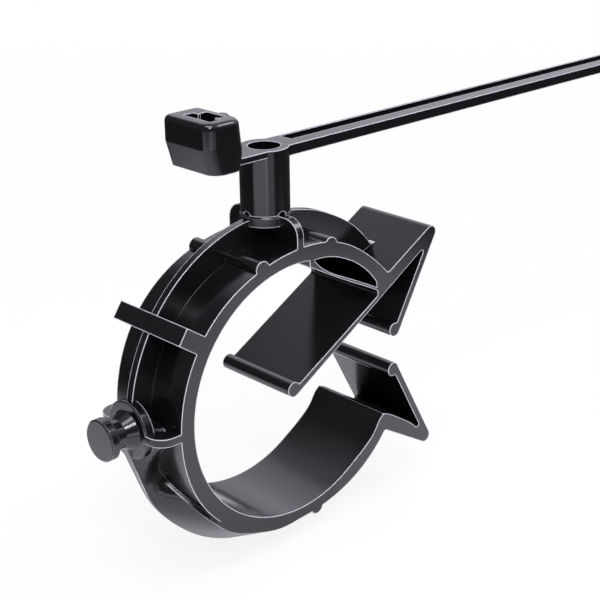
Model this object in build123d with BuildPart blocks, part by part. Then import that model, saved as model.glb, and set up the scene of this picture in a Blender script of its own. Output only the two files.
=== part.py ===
from build123d import *
from math import cos, radians, sin
import os

os.makedirs("parts", exist_ok=True)

# Pipe clip with a swivelling cable tie, in millimetres.
# The origin is the centre of the pipe bore, midway across the clip.
# Y runs along the pipe, X points out of the clip's mouth and Z up the post.

# Clip: the band round the pipe. Outlines are drawn through heights above the bore at named angles.
bore_radius = 18.0
clip_width = 13.4
band_angles = (35.2, 50.0, 68.0, 92.0, 140.0, 180.0, 215.0, 250.0, 276.0, 300.0, 325.0)
band_walls = (3.17, 2.7, 2.55, 1.85, 2.05, 2.15, 2.3, 1.9, 1.6, 2.1, 2.68)
jaw_angles = (-58.0, -45.5, -37.3, -30.9, -29.0)
jaw_flare = (0.0, 0.42, 0.72, 0.75, 1.03)
root_core = 1.2         # ribs and gussets start this deep in the band

# Clip: wings that lead the pipe into the mouth, each drawn from its corner on the band
upper_ramp_slope = 29.4
upper_leg_slope = 60.4
upper_ramp_length = 13.0
upper_ramp_wall = 1.9
upper_leg_wall = 1.0
upper_toe = (1.45, -8.95)
lower_ramp_slope = -31.0
lower_leg_slope = -61.4
lower_ramp_length = 13.2
lower_leg_wall = 1.0
lower_toe = (1.6, 9.0)
lower_ramp_top = ((1.0, 2.1), (2.55, 1.15), (5.2, -0.65), (6.6, -1.85))
lower_pocket = (7.12, -2.03)
toe_radius = 1.0
wing_round = 0.98
pocket_round = 0.35
notch_round = 0.45

# Clip: spring tongue that presses on the pipe, and the strut that stiffens it
tongue_slope = 30.9
tongue_length = 21.6
tongue_wall = 1.0
tongue_taper = 1.6      # degrees by which the tongue thins towards its root
lip_radius = 1.05
crotch_round = 0.45
strut_wall = 0.42
strut_angles = (82.1, 71.5, 56.1, 44.8, 34.0)
strut_line = (-0.92, -1.81, -1.95, -1.19, 0.22)
eye_angles = (80.1, 70.7, 62.6, 53.8, 44.3, 37.6)
eye_roof = (-0.06, 0.44, 0.64, 0.81, 0.9, 0.86)
strut_root_angles = (80.5, 83.5)

# Clip: ribs
rib_wall = 1.15
rib_height = 5.25       # above the bore
rib_end_angles = (181.0, 40.0)
hump_angles = (76.0, 67.0, 58.0, 49.0, 42.0, 35.6)
hump_line = (5.38, 5.7, 5.97, 6.35, 6.55, 6.65)
hump_ledge = 4.3        # the hump ends this far out on the wing
keel_angles = (180.0, 195.0, 208.0, 220.0, 234.0, 246.0, 258.0, 268.0, 279.0, 290.0)
keel_half_feet = (0.65, 1.0, 1.8, 6.0, 7.0, 7.0, 7.0, 7.0, 7.0, 7.0)
keel_feet = (2.4, 2.5, 2.8, 2.9, 2.65, 2.1, 1.9, 1.5, 1.2, 1.0)
keel_half_crests = (0.6, 0.5, 0.3, 0.25, 0.25, 0.25, 0.25, 0.25, 0.25, 0.25)
keel_crests = (5.65, 5.65, 5.6, 5.5, 5.5, 5.55, 5.4, 4.6, 3.2, 1.7)
bar_wall = 2.45
bar_height = 5.35       # above the bore
bar_angle = 145.0
ridge_radius = 1.1
ridge_angles = (107.5, 72.0, -80.5)
ridge_heights = (2.76, 3.1, 2.35)

# Clip: studs for the tie, one on top and one on the back
post_offset = 0.7       # the top stud stands this far towards the mouth
top_collar_radius = 3.45
back_collar_radius = 3.95
collar_height = 5.6     # above the bore
collar_wall = 1.35
gusset_wall = 1.1
gusset_round = 2.3
cone_radius = 2.74
cone_height = 1.4
neck_radius = 1.95
neck_height = 2.9       # from the collar to the underside of the head
stud_radius = 2.8
stud_height = 1.4
stud_chamfer = 0.2

# Tie: tube that snaps over a stud
swivel_gap = 0.06
stud_clearance = 0.06
cone_clearance = 0.1
tube_radius = 3.3
tube_height = 8.74
lip_bore_radius = 2.35
hole_radius = 2.17
notch_radius = 0.65
notch_drop = 0.15

# Tie: plate and strap
plate_wall = 0.85
plate_width = 5.5
plate_root = 0.3        # the plate runs this far into the head
strap_wall = 1.44
strap_width = 4.65
strap_length = 137.0    # from the post axis to the start of the tip
tip_length = 13.0
tip_width = 2.6
groove_start = 4.6      # from the post axis
groove_near = -0.26
groove_far = 2.0
groove_depth = 0.8
tooth_pitch = 0.65
tooth_depth = 0.25
tooth_start = 5.0
tooth_count = 180
tooth_width = 3.4

# Tie: locking head, drawn from the post axis and the plate's top
head_back = -12.6
head_front = -6.7
head_lean = -6.15
head_toe = -6.7
head_near = -4.0
head_far = 5.05
head_top = 5.5
head_crease = 2.2
head_shoulder = 0.9
head_bottom = -1.15
head_taper = 1.0
head_near_corner = 1.8
head_far_corner = 1.1
head_edge = 0.8
slot_start = -11.0
slot_width = 5.2
slot_wall = 1.6
slot_neck = 0.4
slot_neck_width = 3.2
pawl_gap = 1.15
pawl_slot_width = 3.5
pawl_width = 3.1
pawl_foot = 1.5
pawl_top = 3.9
lug_radius = 1.0
lug_height = 1.9
lug_drop = 0.2          # below the head's top
lug_chamfer = 0.35
lug_shift = 0.2         # from the middle plane


def polar(radius, angle):
    return (radius * cos(radians(angle)), radius * sin(radians(angle)))


def beyond(point, angle, distance):
    return (point[0] + distance * cos(radians(angle)), point[1] + distance * sin(radians(angle)))


def offset_from(point, step):
    return (point[0] + step[0], point[1] + step[1])


def crossing(first, first_angle, second, second_angle):
    """Return the point where a line through first meets a line through second."""
    ax, ay = cos(radians(first_angle)), sin(radians(first_angle))
    bx, by = cos(radians(second_angle)), sin(radians(second_angle))
    run = ((second[0] - first[0]) * by - (second[1] - first[1]) * bx) / (ax * by - ay * bx)
    return (first[0] + run * ax, first[1] + run * ay)


def on_arc(angles, heights):
    """Return the points at these heights above the bore."""
    return [polar(bore_radius + height, angle) for angle, height in zip(angles, heights)]


def radial_plane(angle):
    """Return the plane through the bore's axis whose local x is the radius at this angle."""
    out = polar(1, angle)
    return Plane(origin=(0, 0, 0), x_dir=(out[0], 0, out[1]), z_dir=(-out[1], 0, out[0]))


def round_corner(sketch, point, radius):
    fillet(sketch.vertices().sort_by_distance(Vector(point[0], point[1], 0))[0], radius)


half_width = clip_width / 2
collar_top = bore_radius + collar_height
band_points = on_arc(band_angles, band_walls)
jaw_points = on_arc(jaw_angles, jaw_flare)
notch = band_points[0]
jaw_corner = band_points[-1]

# Corners of the upper wing, which runs on into the tongue
wing_tip = beyond(notch, upper_ramp_slope, upper_ramp_length)
ramp_under = beyond(notch, upper_ramp_slope - 90, upper_ramp_wall)
leg_inner = beyond(wing_tip, upper_leg_slope + 90, upper_leg_wall)
wing_pocket = crossing(ramp_under, upper_ramp_slope, leg_inner, upper_leg_slope)
toe = offset_from(notch, upper_toe)
toe_outer = crossing(wing_tip, upper_leg_slope, toe, upper_leg_slope + 90)
toe_inner = crossing(leg_inner, upper_leg_slope, toe, upper_leg_slope + 90)
tongue_start = crossing(ramp_under, upper_ramp_slope, notch, upper_ramp_slope - 90)
tongue_tip = beyond(tongue_start, tongue_slope + 180, tongue_length)
tongue_back = beyond(tongue_tip, tongue_slope + 90, tongue_wall)
lip_centre = beyond(tongue_tip, tongue_slope + 90, lip_radius)
strut_under = on_arc(strut_angles, strut_line)
strut_root = [polar(bore_radius + root_core, angle) for angle in strut_root_angles]
eye_points = on_arc(eye_angles, eye_roof)
strut_over = [eye_points[0]] + [(x, z + strut_wall) for x, z in strut_under[1:]]
crotch = crossing(tongue_back, tongue_slope - tongue_taper, strut_under[-1], -70)

# Corners of the lower wing
lower_tip = beyond(jaw_corner, lower_ramp_slope, lower_ramp_length)
lower_leg_inner = beyond(lower_tip, lower_leg_slope - 90, lower_leg_wall)
lower_toe_centre = offset_from(jaw_corner, lower_toe)
lower_toe_outer = crossing(lower_tip, lower_leg_slope, lower_toe_centre, lower_leg_slope + 90)
lower_toe_inner = crossing(lower_leg_inner, lower_leg_slope, lower_toe_centre, lower_leg_slope + 90)
jaw_heel = polar(bore_radius, band_angles[-1] - 365)
lower_ramp = [offset_from(jaw_corner, step) for step in lower_ramp_top]
pocket_floor = offset_from(jaw_corner, lower_pocket)
pocket_end = crossing(lower_leg_inner, lower_leg_slope, offset_from(pocket_floor, (0.3, 0.4)), 0)

# The keel under the back stud: a thin rib that widens into the full width of the band
with BuildPart() as keel:
    for angle, half_foot, foot, half_crest, crest in zip(keel_angles, keel_half_feet, keel_feet,
                                                         keel_half_crests, keel_crests):
        with BuildSketch(radial_plane(angle)):
            with BuildLine():
                Polyline((bore_radius + root_core / 2, -half_foot), (bore_radius + foot, -half_foot),
                         (bore_radius + crest, -half_crest), (bore_radius + crest, half_crest),
                         (bore_radius + foot, half_foot), (bore_radius + root_core / 2, half_foot),
                         close=True)
            make_face()
    loft()
    with BuildSketch(Plane.XZ):
        Rectangle(6 * bore_radius, 6 * bore_radius)
    extrude(amount=half_width, both=True, mode=Mode.INTERSECT)

with BuildPart() as pipe_clip:
    # Band, mouth, wings and tongue are one outline across the full width
    with BuildSketch(Plane.XZ) as profile:
        with BuildLine():
            Spline(*band_points)
            Line(jaw_corner, (0, 0))
            Line((0, 0), notch)
        make_face()
        Circle(bore_radius, mode=Mode.SUBTRACT)
        with BuildLine():
            Spline(jaw_points[-1], *lower_ramp)
            ThreePointArc(lower_ramp[-1], pocket_floor, pocket_end)
            Polyline(pocket_end, lower_toe_inner, lower_toe_outer, lower_tip, jaw_corner, jaw_heel,
                     jaw_points[-1])
        make_face()
        with BuildLine():
            Spline(*jaw_points)
            Polyline(jaw_points[-1], (0, 0), jaw_points[0])
        make_face(mode=Mode.SUBTRACT)
        with BuildLine():
            Polyline(notch, wing_tip, toe_outer, toe_inner, wing_pocket, tongue_tip, tongue_back,
                     crotch, strut_under[-1], polar(bore_radius + root_core, band_angles[0] + 3), close=True)
        make_face()
        with Locations(toe, lower_toe_centre):
            Circle(toe_radius)
        with Locations(lip_centre):
            Circle(lip_radius)
        round_corner(profile, wing_tip, wing_round)
        round_corner(profile, lower_tip, wing_round)
        round_corner(profile, wing_pocket, pocket_round)
        round_corner(profile, crotch, crotch_round)
        round_corner(profile, notch, notch_round)
        round_corner(profile, jaw_corner, notch_round)
        # The eye over the strut
        with BuildLine():
            Spline(*eye_points)
            Line(eye_points[-1], strut_under[-1])
            Spline(*reversed(strut_under))
            Line(strut_under[0], eye_points[0])
        make_face(mode=Mode.SUBTRACT)
        with BuildLine():
            Spline(*strut_under)
            Line(strut_under[-1], strut_over[-1])
            Spline(*reversed(strut_over))
            Polyline(strut_over[0], *strut_root, strut_under[0])
        make_face()
        # Small ridges across the band, and the bar
        for angle, height in zip(ridge_angles, ridge_heights):
            with Locations(polar(bore_radius + height - ridge_radius, angle)):
                Circle(ridge_radius)
        with Locations(Location(polar(bore_radius + (bar_height + root_core) / 2, bar_angle), bar_angle)):
            Rectangle(bar_height - root_core, bar_wall)
    extrude(amount=half_width, both=True)

    # Rib in the middle plane, highest over the mouth
    with BuildSketch(Plane.XZ):
        ledge = beyond(notch, upper_ramp_slope, hump_ledge)
        crest = on_arc(hump_angles, hump_line)
        rib_top = bore_radius + rib_height
        rib_root = bore_radius + root_core
        with BuildLine():
            Polyline(ledge, (crest[-1][0], ledge[1]), crest[-1])
            Spline(*reversed(crest), (post_offset, rib_top))
            RadiusArc((post_offset, rib_top), polar(rib_top, rib_end_angles[0]), -rib_top)
            Line(polar(rib_top, rib_end_angles[0]), polar(rib_root, rib_end_angles[0]))
            RadiusArc(polar(rib_root, rib_end_angles[0]), polar(rib_root, rib_end_angles[1]), rib_root)
            Line(polar(rib_root, rib_end_angles[1]), ledge)
        make_face()
    extrude(amount=rib_wall / 2, both=True)
    add(keel.part)

    # Studs: gussets to both side faces, then collar, cone, neck and head
    stud_frames = (Plane(origin=(post_offset, 0, 0), x_dir=(0, 1, 0), z_dir=(0, 0, 1)),
                   Plane(origin=(0, 0, 0), x_dir=(0, 1, 0), z_dir=(-1, 0, 0)))
    for frame, collar_radius in zip(stud_frames, (top_collar_radius, back_collar_radius)):
        upright = Plane(origin=frame.origin, x_dir=frame.x_dir, z_dir=-frame.y_dir)
        with BuildSketch(upright) as gusset:
            with BuildLine():
                Polyline((-half_width, bore_radius + root_core), (-half_width, collar_top),
                         (half_width, collar_top), (half_width, bore_radius + root_core), close=True)
            make_face()
            round_corner(gusset, (-half_width, collar_top), gusset_round)
            round_corner(gusset, (half_width, collar_top), gusset_round)
        extrude(amount=gusset_wall / 2, both=True)
        with BuildSketch(upright) as stud:
            with BuildLine():
                Polyline((0, collar_top - collar_wall), (collar_radius, collar_top - collar_wall),
                         (collar_radius, collar_top), (cone_radius, collar_top),
                         (neck_radius, collar_top + cone_height), (neck_radius, collar_top + neck_height),
                         (stud_radius, collar_top + neck_height),
                         (stud_radius, collar_top + neck_height + stud_height),
                         (0, collar_top + neck_height + stud_height), close=True)
            make_face()
            rims = stud.vertices().filter_by(lambda v: v.X > cone_radius and v.Y > collar_top - stud_chamfer)
            chamfer(rims, stud_chamfer)
        revolve(axis=Axis(frame.origin, frame.z_dir))

pipe_clip.part.label = "pipe_clip"
export_step(pipe_clip.part, "parts/pipe_clip.step")

# Heights of the tie on its stud
tube_foot = collar_top + swivel_gap
plate_top = tube_foot + tube_height
stud_under = collar_top + neck_height
stud_end = stud_under + stud_height
cone_slope = (cone_radius - neck_radius) / cone_height
lip_start = collar_top + (cone_radius + cone_clearance - lip_bore_radius) / cone_slope
chamber_radius = stud_radius + stud_clearance
post = Plane(origin=(post_offset, 0, 0), x_dir=(1, 0, 0), z_dir=(0, 0, 1))
side = Plane(origin=(post_offset, 0, 0), x_dir=(1, 0, 0), z_dir=(0, -1, 0))

with BuildPart() as cable_tie:
    # Tube, plate and strap
    with BuildSketch(post.offset(tube_foot)):
        Circle(tube_radius)
    extrude(amount=tube_height)
    with BuildSketch(post.offset(plate_top)):
        with Locations(((head_toe - plate_root) / 2, 0)):
            Rectangle(plate_root - head_toe, plate_width)
    extrude(amount=-plate_wall)
    with BuildSketch(post.offset(plate_top)):
        with BuildLine():
            Polyline((0, -strap_width / 2), (strap_length, -strap_width / 2),
                     (strap_length + tip_length, -tip_width / 2), (strap_length + tip_length, tip_width / 2),
                     (strap_length, strap_width / 2), (0, strap_width / 2), close=True)
        make_face()
    extrude(amount=-strap_wall)
    with BuildSketch(post.offset(plate_top)):
        with Locations((groove_start + strap_length / 2, (groove_near + groove_far) / 2)):
            Rectangle(strap_length, groove_far - groove_near)
    extrude(amount=-groove_depth, mode=Mode.SUBTRACT)
    with BuildSketch(side):
        saw = [(tooth_start, plate_top - strap_wall - 1)]
        for index in range(tooth_count):
            left = tooth_start + index * tooth_pitch
            saw.append((left, plate_top - strap_wall))
            saw.append((left + tooth_pitch, plate_top - strap_wall + tooth_depth))
        saw.append((tooth_start + tooth_count * tooth_pitch, plate_top - strap_wall - 1))
        with BuildLine():
            Polyline(*saw, close=True)
        make_face()
    extrude(amount=tooth_width / 2, both=True, mode=Mode.SUBTRACT)

    # Socket over the stud, with the lip that holds the tie on
    with BuildSketch(side):
        with BuildLine():
            Polyline((0, tube_foot - 1), (cone_radius + cone_clearance, tube_foot - 1),
                     (cone_radius + cone_clearance, collar_top), (lip_bore_radius, lip_start),
                     (lip_bore_radius, stud_under - stud_clearance), (chamber_radius, stud_under - stud_clearance),
                     (chamber_radius, stud_end + stud_clearance),
                     (hole_radius, stud_end + stud_clearance + chamber_radius - hole_radius),
                     (hole_radius, plate_top + 1), (0, plate_top + 1), close=True)
        make_face()
    revolve(axis=Axis(side.origin, (0, 0, 1)), mode=Mode.SUBTRACT)
    for turn in (0, 90):
        direction = (cos(radians(turn)), sin(radians(turn)), 0)
        with BuildSketch(Plane(origin=(post_offset, 0, tube_foot - notch_drop), z_dir=direction)):
            Circle(notch_radius)
        extrude(amount=2 * tube_radius, both=True, mode=Mode.SUBTRACT)

head_side = Plane(origin=(post_offset, head_near, 0), x_dir=(1, 0, 0), z_dir=(0, -1, 0))
with BuildPart() as head:
    with BuildSketch(head_side):
        with BuildLine():
            Polyline((head_back, plate_top + head_top), (head_back, plate_top + head_crease),
                     (head_back + head_taper, plate_top + head_bottom), (head_toe, plate_top + head_bottom),
                     (head_lean, plate_top + head_shoulder), (head_front, plate_top + head_top), close=True)
        make_face()
    extrude(amount=head_near - head_far)
    upright_edges = head.edges().filter_by(lambda edge: abs(edge.tangent_at(0.5).Z) > 0.5)
    fillet(upright_edges.filter_by(lambda edge: edge.center().Y < 0), head_near_corner)
    upright_edges = head.edges().filter_by(lambda edge: abs(edge.tangent_at(0.5).Z) > 0.5)
    fillet(upright_edges.filter_by(lambda edge: edge.center().Y > head_far - 0.1), head_far_corner)
    fillet(head.faces().sort_by(Axis.Z)[-1].edges(), head_edge)
    # H-shaped slot: the strap's part, a waist and the pawl's part
    slot_parts = ((slot_start, slot_wall, slot_width),
                  (slot_start + slot_wall, slot_neck, slot_neck_width),
                  (slot_start + slot_wall + slot_neck, pawl_gap, pawl_slot_width))
    with BuildSketch(post.offset(plate_top + head_top)):
        for start, wall, width in slot_parts:
            with Locations((start + wall / 2, 0)):
                Rectangle(wall, width)
    extrude(amount=head_bottom - head_top, mode=Mode.SUBTRACT)
    # Pawl, hinged low on the wall beside the tube
    pawl_wall = slot_start + slot_wall + slot_neck + pawl_gap
    with BuildSketch(side):
        with BuildLine():
            Polyline((pawl_wall + 0.2, plate_top + head_bottom + 0.3), (pawl_wall + 0.2, plate_top + pawl_foot),
                     (pawl_wall - 0.4, plate_top + pawl_top), (pawl_wall - pawl_gap - 0.15, plate_top + pawl_top),
                     (pawl_wall - pawl_gap + 0.1, plate_top + head_bottom + 1.1), close=True)
        make_face()
    extrude(amount=pawl_width / 2, both=True)
    # Rounded lug on the wall beside the tube, just below the top
    with BuildSketch(post.offset(plate_top + head_top - lug_drop)):
        with Locations((head_front, lug_shift)):
            Circle(lug_radius)
    extrude(amount=-lug_height)
    lug_rims = head.edges().filter_by(GeomType.CIRCLE).sort_by_distance(
        Vector(post_offset + head_front + lug_radius, lug_shift, plate_top + head_top - lug_drop))
    chamfer(lug_rims[0], lug_chamfer)

with BuildPart() as tie_whole:
    add(cable_tie.part)
    add(head.part)

tie_whole.part.label = "cable_tie"
export_step(tie_whole.part, "parts/cable_tie.step")
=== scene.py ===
import bpy
from mathutils import Matrix, Vector


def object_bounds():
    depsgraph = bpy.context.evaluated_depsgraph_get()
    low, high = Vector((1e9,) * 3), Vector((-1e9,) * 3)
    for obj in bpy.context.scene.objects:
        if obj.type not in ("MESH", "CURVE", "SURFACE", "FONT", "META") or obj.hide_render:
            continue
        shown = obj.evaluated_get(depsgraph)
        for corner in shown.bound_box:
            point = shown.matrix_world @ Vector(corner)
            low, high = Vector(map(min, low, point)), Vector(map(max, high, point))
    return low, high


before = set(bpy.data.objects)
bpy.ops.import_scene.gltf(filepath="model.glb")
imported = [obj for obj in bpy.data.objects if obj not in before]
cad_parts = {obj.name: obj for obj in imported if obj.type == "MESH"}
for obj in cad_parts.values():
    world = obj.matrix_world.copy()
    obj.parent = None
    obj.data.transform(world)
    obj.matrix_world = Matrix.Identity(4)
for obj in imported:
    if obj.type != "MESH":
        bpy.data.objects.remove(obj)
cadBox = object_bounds()
mm = 0.001
print("frame loaded")


def linear(hexColour):  # sRGB hex to linear RGBA
    channels = [int(hexColour[i:i + 2], 16) / 255 for i in (1, 3, 5)]
    return [c / 12.92 if c <= 0.04045 else ((c + 0.055) / 1.055) ** 2.4 for c in channels] + [1.0]


# Adds a node, sets its properties and sockets, and links other nodes' outputs to its inputs
def addNode(tree, kind, settings=None, values=None, links=None):
    node = tree.nodes.new(kind)
    for name, value in (settings or {}).items():
        setattr(node, name, value)
    for name, value in (values or {}).items():
        node.inputs[name].default_value = value
    for name, (source, output) in (links or {}).items():
        tree.links.new(source.outputs[output], node.inputs[name])
    return node


def newMaterial(name):
    material = bpy.data.materials.new(name)
    material.use_nodes = True
    material.node_tree.nodes.clear()
    return material, material.node_tree


# Camera at the photograph's place, from its vanishing lines and the strap's width
cameraView = {
    "place": (-115.630, -130.324, 79.419),  # mm
    "right": (0.725575, -0.688024, -0.012755),
    "up": (0.260051, 0.256988, 0.930769),
    "lens": 83.618,
    "sensor": 36,
    "near": 0.01,  # metres
    "far": 20,
}
cameraData = bpy.data.cameras.new("camera")
cameraData.lens = cameraView["lens"]
cameraData.sensor_width = cameraView["sensor"]
cameraData.clip_start = cameraView["near"]
cameraData.clip_end = cameraView["far"]
camera = bpy.data.objects.new("camera", cameraData)
bpy.context.scene.collection.objects.link(camera)
right = Vector(cameraView["right"]).normalized()
up = Vector(cameraView["up"]).normalized()
back = right.cross(up).normalized()
turn = Matrix((right, up, back)).transposed().to_4x4()
camera.matrix_world = Matrix.Translation(Vector(cameraView["place"]) * mm) @ turn
bpy.context.scene.camera = camera
bpy.context.scene.view_settings.view_transform = "Standard"


# Studio: a pale floor, a world that is white to the camera, and soft boxes
studio = {
    "worldColour": "#f3f5ff",  # also the soft boxes' colour
    "horizonStrength": 0.15,
    "overheadStrength": 0.8,
    "overheadAxis": (0.5, 0.0, 0.866),  # the overhead light leans towards the mouth
    "horizonTop": 0.54,  # cosines of the angles to that axis, between which the horizon turns into overhead light
    "overheadStart": 0.66,
    "floorColour": "#f2f2f2",
    "floorSize": 6.0,  # metres
    "shadowShare": 0.12,  # matt share of the floor that the camera sees, which takes the shadow
    "shadowInner": 100.0,  # mm from the origin between which that share fades out
    "shadowOuter": 500.0,
}
# Gloss sees two pools of light on the table, in mm. Each fades out between its inner and its outer radius
tableLight = {
    "mainInner": 55.0,
    "mainOuter": 130.0,
    "mainStrength": 0.75,
    "sidePlace": (65.0, -76.0),
    "sideInner": 10.0,
    "sideOuter": 56.0,
    "sideStrength": 0.78,
    "outsideStrength": 0.04,
    "shadeOuter": 40.0,  # the object's own shade on the table, strongest right under it
    "shadeStrength": 0.1,
}
softBoxes = {
    # name: place in mm, target in mm, width and height in mm, watts
    "boxBehind": ((280, 300, 200), (0, 0, 20), (420, 380), 0.4),
    "boxKey": ((260, -150, 290), (0, 0, 10), (130, 130), 0.4),
    "boxTop": ((-100, -90, 330), (0, 0, 20), (220, 110), 0.55),
    "boxFront": ((-200, -280, 330), (0, 0, 10), (110, 90), 0.9),
    "panelLow": ((-108, -62, -16), (0, 0, 30), (165, 40), 0.036),
    "panelSide": ((-38, -128, -16), (0, 0, 30), (90, 40), 0.012),
}
world = bpy.data.worlds.new("studioWorld")
bpy.context.scene.world = world
world.use_nodes = True
worldTree = world.node_tree
worldTree.nodes.clear()
worldRays = addNode(worldTree, "ShaderNodeLightPath")
sky = addNode(worldTree, "ShaderNodeTexCoord")
lean = addNode(worldTree, "ShaderNodeVectorMath", {"operation": "DOT_PRODUCT"}, {1: studio["overheadAxis"]},
               {0: (sky, "Generated")})
fade = addNode(worldTree, "ShaderNodeMapRange", {"interpolation_type": "SMOOTHSTEP"},
               {"From Min": studio["horizonTop"], "From Max": studio["overheadStart"],
                "To Min": studio["horizonStrength"], "To Max": studio["overheadStrength"]},
               {"Value": (lean, "Value")})
lit = addNode(worldTree, "ShaderNodeBackground", values={"Color": linear(studio["worldColour"])},
              links={"Strength": (fade, 0)})
seen = addNode(worldTree, "ShaderNodeBackground", values={"Color": linear("#ffffff"), "Strength": 1.0})
worldMix = addNode(worldTree, "ShaderNodeMixShader",
                   links={0: (worldRays, "Is Camera Ray"), 1: (lit, 0), 2: (seen, 0)})
addNode(worldTree, "ShaderNodeOutputWorld", links={"Surface": (worldMix, 0)})

for name, (place, target, size, watts) in softBoxes.items():
    lamp = bpy.data.lights.new(name, "AREA")
    lamp.shape = "RECTANGLE"
    lamp.size = size[0] * mm
    lamp.size_y = size[1] * mm
    lamp.energy = watts
    lamp.color = linear(studio["worldColour"])[:3]
    box = bpy.data.objects.new(name, lamp)
    bpy.context.scene.collection.objects.link(box)
    box.location = Vector(place) * mm
    box.rotation_euler = (Vector(target) - Vector(place)).to_track_quat("-Z", "Y").to_euler()
    box.visible_camera = False
print("camera, world and soft boxes done")

floorLevel = cadBox[0][2]
half = studio["floorSize"] / 2
floorMesh = bpy.data.meshes.new("floor")
floorMesh.from_pydata([(-half, -half, floorLevel), (half, -half, floorLevel), (half, half, floorLevel),
                       (-half, half, floorLevel)], [], [(0, 1, 2, 3)])
floor = bpy.data.objects.new("floor", floorMesh)
bpy.context.scene.collection.objects.link(floor)
floorMaterial, floorTree = newMaterial("paleFloorMatt")
floorRays = addNode(floorTree, "ShaderNodeLightPath")
matt = addNode(floorTree, "ShaderNodeBsdfDiffuse", values={"Color": linear(studio["floorColour"])})
glow = addNode(floorTree, "ShaderNodeEmission", values={"Color": linear("#ffffff"), "Strength": 1.0})
floorPlace = addNode(floorTree, "ShaderNodeTexCoord")
reach = addNode(floorTree, "ShaderNodeVectorMath", {"operation": "LENGTH"}, links={0: (floorPlace, "Object")})

# The camera sees white with a share of matt floor, other rays see the matt floor alone
glowShare = addNode(floorTree, "ShaderNodeMapRange", {"interpolation_type": "SMOOTHSTEP"},
                    {"From Min": studio["shadowInner"] * mm, "From Max": studio["shadowOuter"] * mm,
                     "To Min": 1 - studio["shadowShare"]}, {"Value": (reach, "Value")})
share = addNode(floorTree, "ShaderNodeMath", {"operation": "MULTIPLY"},
                links={0: (glowShare, 0), 1: (floorRays, "Is Camera Ray")})
seenFloor = addNode(floorTree, "ShaderNodeMixShader", links={0: (share, 0), 1: (matt, 0), 2: (glow, 0)})

# Gloss sees the pools, with the object's shade in the middle of the main one
mainPool = addNode(floorTree, "ShaderNodeMapRange", {"interpolation_type": "SMOOTHSTEP"},
                   {"From Min": tableLight["mainInner"] * mm, "From Max": tableLight["mainOuter"] * mm,
                    "To Min": tableLight["mainStrength"], "To Max": tableLight["outsideStrength"]},
                   {"Value": (reach, "Value")})
sidePlace = [c * mm for c in tableLight["sidePlace"]] + [floorLevel]
sideReach = addNode(floorTree, "ShaderNodeVectorMath", {"operation": "DISTANCE"}, {1: sidePlace},
                    {0: (floorPlace, "Object")})
sidePool = addNode(floorTree, "ShaderNodeMapRange", {"interpolation_type": "SMOOTHSTEP"},
                   {"From Min": tableLight["sideInner"] * mm, "From Max": tableLight["sideOuter"] * mm,
                    "To Min": tableLight["sideStrength"], "To Max": tableLight["outsideStrength"]},
                   {"Value": (sideReach, "Value")})
pools = addNode(floorTree, "ShaderNodeMath", {"operation": "MAXIMUM"}, links={0: (mainPool, 0), 1: (sidePool, 0)})
shade = addNode(floorTree, "ShaderNodeMapRange", {"interpolation_type": "SMOOTHSTEP"},
                {"From Max": tableLight["shadeOuter"] * mm, "To Min": tableLight["shadeStrength"]},
                {"Value": (reach, "Value")})
poolLevel = addNode(floorTree, "ShaderNodeMath", {"operation": "MULTIPLY"}, links={0: (pools, 0), 1: (shade, 0)})
poolGlow = addNode(floorTree, "ShaderNodeEmission", values={"Color": linear(studio["worldColour"])},
                   links={"Strength": (poolLevel, 0)})
unlit = addNode(floorTree, "ShaderNodeBsdfDiffuse", values={"Color": linear("#000000")})
poolMatt = addNode(floorTree, "ShaderNodeMixShader", links={0: (poolLevel, 0), 1: (unlit, 0), 2: (matt, 0)})
mirrored = addNode(floorTree, "ShaderNodeAddShader", links={0: (poolGlow, 0), 1: (poolMatt, 0)})
floorMix = addNode(floorTree, "ShaderNodeMixShader",
                   links={0: (floorRays, "Is Glossy Ray"), 1: (seenFloor, 0), 2: (mirrored, 0)})
addNode(floorTree, "ShaderNodeOutputMaterial", links={"Surface": (floorMix, 0)})
floorMesh.materials.append(floorMaterial)
print("floor done")


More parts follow.
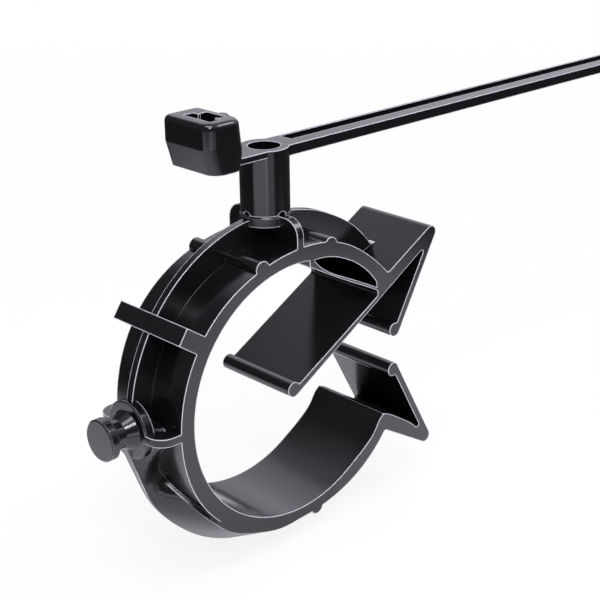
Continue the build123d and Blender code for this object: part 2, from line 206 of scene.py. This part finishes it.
# Black nylon, injection moulded: a satin skin that mirrors the studio softly, with fine spark-eroded grain and slow
# # gloss variation, and a painted highlight along its convex edges, pale lines put into its colour
def nylonMaterial(name, look):
    material, tree = newMaterial(name)
    place = addNode(tree, "ShaderNodeTexCoord")
    cloud = addNode(tree, "ShaderNodeTexNoise",
                    values={"Scale": 1 / (look["cloudSize"] * mm), "Detail": look["cloudDetail"]},
                    links={"Vector": (place, "Object")})
    colour = addNode(tree, "ShaderNodeMix", {"data_type": "RGBA"},
                     {6: linear(look["dark"]), 7: linear(look["light"])}, {0: (cloud, "Fac")})
    # Painted highlight: convex edges get a pale colour, found where rays sent inwards soon meet the next face
    inwards = addNode(tree, "ShaderNodeAmbientOcclusion",
                      {"inside": True, "only_local": True, "samples": look["edgeSamples"]},
                      {"Distance": look["edgeWidth"] * mm})
    paintedEdgeLine = addNode(tree, "ShaderNodeMapRange", {"interpolation_type": "SMOOTHSTEP"},
                     {"From Min": look["edgeStart"], "From Max": look["edgeFull"], "To Min": 0.0,
                      "To Max": look["paintedEdgeStrength"]}, {"Value": (inwards, "AO")})
    # mixes the painted edge highlight into the nylon's colour
    colourWithPaintedEdges = addNode(tree, "ShaderNodeMix", {"data_type": "RGBA"}, {7: linear(look["paintedEdgeColour"])},
                   {0: (paintedEdgeLine, 0), 6: (colour, 2)})
    rough = addNode(tree, "ShaderNodeMapRange", values={"To Min": look["roughLow"], "To Max": look["roughHigh"]},
                    links={"Value": (cloud, "Fac")})
    grain = addNode(tree, "ShaderNodeTexNoise",
                    values={"Scale": 1 / (look["grainSize"] * mm), "Detail": look["grainDetail"]},
                    links={"Vector": (place, "Object")})
    edge = addNode(tree, "ShaderNodeBevel", {"samples": look["edgeSamples"]}, {"Radius": look["edgeRound"] * mm})
    bump = addNode(tree, "ShaderNodeBump",
                   values={"Strength": look["grainStrength"], "Distance": look["grainDepth"] * mm},
                   links={"Height": (grain, "Fac"), "Normal": (edge, 0)})
    surface = addNode(tree, "ShaderNodeBsdfPrincipled", values={"IOR": look["ior"]},
                      links={"Base Color": (colourWithPaintedEdges, 2), "Roughness": (rough, 0), "Normal": (bump, 0)})
    addNode(tree, "ShaderNodeOutputMaterial", links={"Surface": (surface, 0)})
    return material


clipLook = {
    "dark": "#0a0a0c",
    "light": "#101012",
    "ior": 1.53,  # nylon
    "roughLow": 0.13,
    "roughHigh": 0.21,
    "cloudSize": 4.0,  # mm, the patches in which the mould's gloss varies
    "cloudDetail": 3.0,
    "grainSize": 0.12,  # mm, coarser than real spark erosion so that it shows
    "grainDetail": 2.0,
    "grainDepth": 0.01,  # mm
    "grainStrength": 0.2,
    "edgeRound": 0.14,  # mm, radius by which moulded edges catch the light
    "edgeWidth": 0.16,  # mm, width of the painted highlight line on a convex edge
    "edgeStart": 0.92,  # open share round a point at which the painted highlight line starts and is full
    "edgeFull": 0.6,
    # strength and colour of the painted highlight on convex edges
    "paintedEdgeStrength": 1.0,
    "paintedEdgeColour": "#dcdce2",
    "edgeSamples": 8,
}
tieLook = dict(clipLook, roughLow=0.11, roughHigh=0.19)
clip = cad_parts["pipe_clip"]
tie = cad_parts["cable_tie"]


def dress(node, name, look):
    node.data.materials.clear()
    node.data.materials.append(nylonMaterial(name, look))


dress(clip, "blackNylonMouldedSatin", clipLook)
dress(tie, "blackNylonMouldedSatinTie", tieLook)
print("nylon done")
